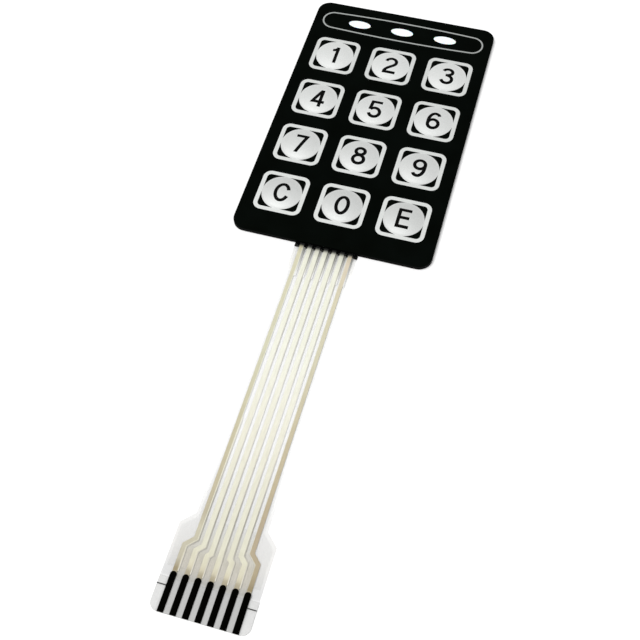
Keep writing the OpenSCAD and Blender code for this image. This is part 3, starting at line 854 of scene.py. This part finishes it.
def add_softbox():
    """A square soft light above the near side of the part, which faces the part."""
    data = bpy.data.lights.new("softbox_above", "AREA")
    data.shape = "SQUARE"
    data.size = SOFTBOX_SIZE
    data.energy = SOFTBOX_POWER
    lamp = bpy.data.objects.new("softbox_above", data)
    bpy.context.scene.collection.objects.link(lamp)
    facing = (Vector(SOFTBOX_AIM) - Vector(SOFTBOX_AT)).to_track_quat("-Z", "Y")
    lamp.matrix_world = Matrix.Translation(SOFTBOX_AT) @ facing.to_matrix().to_4x4()


def build_light():
    """Soft studio light: an even pale room and a wide softbox."""
    world = bpy.data.worlds.new("studio")
    world.use_nodes = True
    room = world.node_tree.nodes["Background"].inputs
    room["Color"].default_value = (1, 1, 1, 1)
    room["Strength"].default_value = ROOM_LIGHT
    bpy.context.scene.world = world
    add_softbox()
    bpy.context.scene.view_settings.view_transform = "Standard"


# The scene

def dress(material, *nodes):
    """Gives nodes of the part a better material."""
    for name in nodes:
        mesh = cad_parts[name].data
        mesh.materials.clear()
        mesh.materials.append(material)


add_camera()

dress(textured_polyester(), "graphic_overlay")
dress(silver_ink("silver_screen_ink", "#d9dcd9", "#eceeec", 0.36, 0.46), "key_frames")
dress(silver_ink("thin_silver_line_ink", "#a8aca9", "#bcc0bd", 0.4, 0.5), "window_border")
dress(diffuser(), "window_lenses")
# The discs darken towards the tail as painted shade
build_keys(silver_ink("silver_disc_ink", "#dee1de", "#f2f3f2", 0.41, 0.51, "#e7e7e7"), legend_ink())

# The cover's tones paint the head's shadow at the tail's root and shade over the contact end
build_cover(clear_film("clear_cover_polyester", 0.03, [
    (8, "#c6c0b0"), (12.9, "#cac6ba"), (13.2, "#e4e4e0"), (28, "#ffffff"), (86, "#f4f4f2"),
    (87.7, "#909290"), (88, "#0a0b0a")]))
# The film's tones paint the head's shadow at the tail's root, a dark edge inside the head, and shade between
# the lines at the contact end
build_film(clear_film("clear_polyester", 0.11, [
    (0, "#c6c6c5"), (6.8, "#bcbcbb"), (7.2, "#1c1b18"), (9.2, "#3a3831"), (11, "#686254"), (13, "#8e8878"),
    (20, "#a8a6a0"), (26, "#cacac8"), (30, "#e2e2e0"), (36, "#fcfcfc"), (43, "#ffffff"), (79, "#f8f9f8"),
    (84, "#c8c6bc"), (87, "#a8a8a0"), (87.7, "#7c7c78"), (88.0, "#060706")]),
    milky_strip())
# A sheet of painted shade between the lines past the strip's end: dull cream, whiter away from the strip
build_painted_gap_shade(line_ink("gap_shade_cream", [
    (7, "#cdccc8"), (8, "#dcdad4"), (9, "#e2ded4"), (9.5, "#ece7dc"), (11, "#eae5da"), (12.5, "#e3dfd3"),
    (14, "#eae7de"), (15.5, "#eeece4"), (18, "#f4f4f0"), (20, "#f8f8f8")]))

# Conductor ink under a pale cream top coat: matt, yellower towards the tip, and darker towards the head's
# edge as painted shadow of the head
cream = line_ink("cream_coated_conductor", [
    (8.9, "#a89f88"), (9.8, "#cbc4ac"), (11, "#d4d0ba"), (16, "#d8d6c3"), (28, "#dcdac8"), (43, "#e2e0d0"),
    (58, "#e8e8da"), (80, "#e6e6d6"), (84, "#e4e4d4"), (86, "#dedece"), (87.7, "#d0d0c2"), (88.4, "#0c0d0c")])
dress(cream, *(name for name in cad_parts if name.startswith(("row_line", "column_line"))))
build_line_edges(
    # Painted shadow of each line on the ground beneath the clear film: grey, matt
    line_ink("painted_line_shadow_grey", [
        (9, "#dcd8cc"), (12.5, "#ccc8bc"), (14.5, "#b4b0a4"), (21, "#a09c8e"), (28, "#bebaae"),
        (36, "#d8d4c6"), (44, "#e4e2d6"), (52, "#e2e0d4"), (60, "#d0cec2"), (76, "#c8c6ba"),
        (82, "#bab8ac"), (87.5, "#5c5c56")]),
    # Painted shade beside the lines under the head's edge: paler away from the head
    line_ink("painted_shade_beside_lines", [
        (80, "#eaeaea"), (81, "#e3e3e2"), (82.5, "#d0d0cc"), (84, "#bebeba"), (86, "#a0a09c"),
        (87.9, "#74746f")]),
    # Top coat gone brown on the outer lines, more so on the right one, and darkened at the head's edge as
    # painted shadow of the head
    line_ink("browned_top_coat_left", [
        (9, "#9a8e72"), (11, "#bab4a0"), (14, "#bcb6a0"), (18, "#c2bca4"), (21, "#b3aa91"), (28, "#bab092"),
        (44, "#c2bb9c"), (60, "#cbc9ae"), (86, "#cfcaae"), (87.8, "#c4bfa2"), (88.4, "#5c5a4c")]),
    line_ink("browned_top_coat_right", [
        (9, "#948668"), (12, "#ab9d80"), (21, "#ac9c80"), (28, "#b3a585"), (44, "#c1b799"), (60, "#cac5aa"),
        (76, "#cec7ab"), (86, "#d2c6b0"), (87.8, "#c6baa2"), (88.4, "#5c564c")]))
dress(carbon_ink(), "contact_fingers")
# Black register lines, printed thin: dark grey, matt
dress(plain_finish(
    "thin_screen_ink", "#262625", "#343432", blot=0.2, relief=0.002, rough=(0.5, 0.6),
    IOR=1.5, Specular_IOR_Level=0.1), "insertion_marks")

# Black acrylic adhesive: dull, a little uneven
black_adhesive = plain_finish(
    "black_acrylic_adhesive", "#040504", "#080908", blot=0.8, relief=0.006, rough=(0.5, 0.7),
    IOR=1.47, Specular_IOR_Level=0.02)
dress(black_adhesive, "overlay_adhesive", "mounting_adhesive")
# A dark bar under the tail's root: painted shadow of the head's edge
build_root_shadow_strip(black_adhesive)
# Black polyester: even, with a satin cut edge
dress(plain_finish(
    "black_spacer_polyester", "#040505", "#070808", blot=0.6, relief=0.003, rough=(0.4, 0.55),
    IOR=1.57, Specular_IOR_Level=0.02), "dome_spacer")
# Rolled spring steel: bright, with fine rolling grain
dress(plain_finish(
    "spring_steel", "#b4b7ba", "#c8cacc", blot=0.1, relief=0.001, rough=(0.22, 0.34), Metallic=1.0),
    "snap_domes")
# Green printed insulation: an even satin coat
dress(plain_finish(
    "insulation_ink", "#468f63", "#529e70", blot=0.3, relief=0.002, rough=(0.35, 0.45), IOR=1.5),
    "jumper_insulation")
dress(liner_paper(), "release_liner")

build_stage()
build_light()
